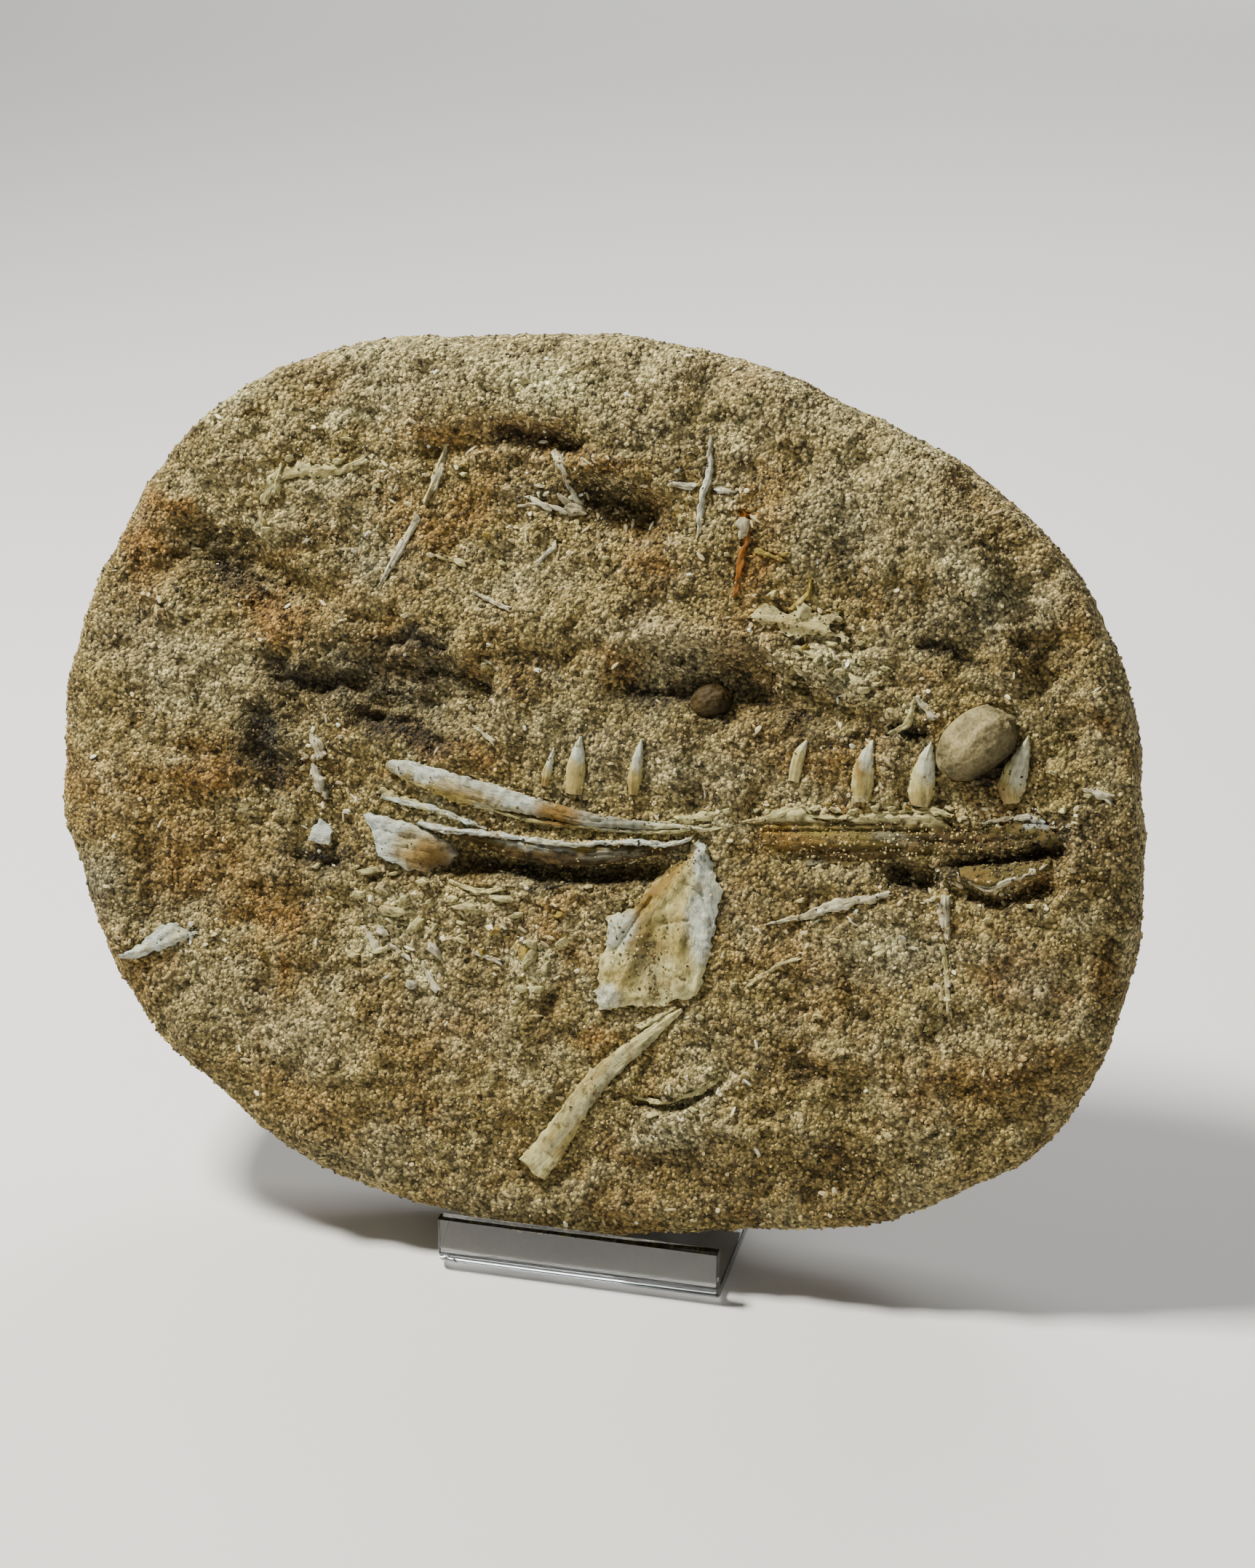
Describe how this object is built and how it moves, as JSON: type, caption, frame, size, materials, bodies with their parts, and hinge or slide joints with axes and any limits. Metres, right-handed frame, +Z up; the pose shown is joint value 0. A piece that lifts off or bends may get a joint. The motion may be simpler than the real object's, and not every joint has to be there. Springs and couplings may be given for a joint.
{
  "type": "fossil enchodus jaw",
  "caption": "Thick oval slab of sandy rock holding a toothed fish jaw, other fish bones and a pebble, leaned back on a bent clear stand.",
  "frame": {"origin": "on the surface that the stand rests on, under the middle of the whole object's box", "axes": "+Z up, +X to the right as one faces the jaw, +Y away from the viewer, the way the slab leans"},
  "size_m": [0.2522, 0.113, 0.2],
  "materials": {
    "sandy_rock": "rough coarse-grained sandy phosphate rock, cream, tan and brown grains with rust patches",
    "bone": "satin fossil bone, cream and bluish white with orange-brown stains",
    "rust_stained_bone": "fossil bone stained reddish orange",
    "tooth_enamel": "glossy fossil enamel, pale tip and tan root",
    "smooth_stone": "smooth grey-tan nodule",
    "clear_sheet": "clear polished acrylic sheet, bent"
  },
  "bodies": {
    "root": {"rock_slab": "sandy_rock", "stand": "clear_sheet", "jaw_front": "bone", "jaw_splint": "bone", "jaw_blade": "bone", "spine_bone": "bone", "left_chip_upper": "bone", "left_chip_middle": "bone", "curved_crest": "bone", "fin_ray_long": "bone", "fin_ray_short": "bone", "starburst_ray_left": "bone", "starburst_ray_upper": "bone", "starburst_ray_lower": "bone", "cross_upright": "bone", "cross_arm_left": "bone", "cross_arm_right": "bone", "rust_bone": "rust_stained_bone", "rust_bone_branch": "rust_stained_bone", "splinter_upper_a": "bone", "splinter_upper_b": "bone", "splinter_by_tooth": "bone", "splinter_by_pebble": "bone", "splinter_lower_a": "bone", "splinter_lower_b": "bone", "splinter_lower_c": "bone", "splinter_lower_d": "bone", "splinter_right": "bone", "chip_right": "bone", "thin_ray_right": "bone", "chip_at_edge": "bone", "jaw_plate": "bone", "jaw_rear": "bone", "shelf_bone": "bone", "fan_bone": "bone", "leaf_fragment": "bone", "left_chip_lower": "bone", "branching_bone": "bone", "tooth_1": "tooth_enamel", "tooth_2": "tooth_enamel", "tooth_3": "tooth_enamel", "tooth_4": "tooth_enamel", "tooth_5": "tooth_enamel", "tooth_6": "tooth_enamel", "tooth_7": "tooth_enamel", "pebble": "smooth_stone", "small_nodule": "smooth_stone"}
  },
  "joints": []
}
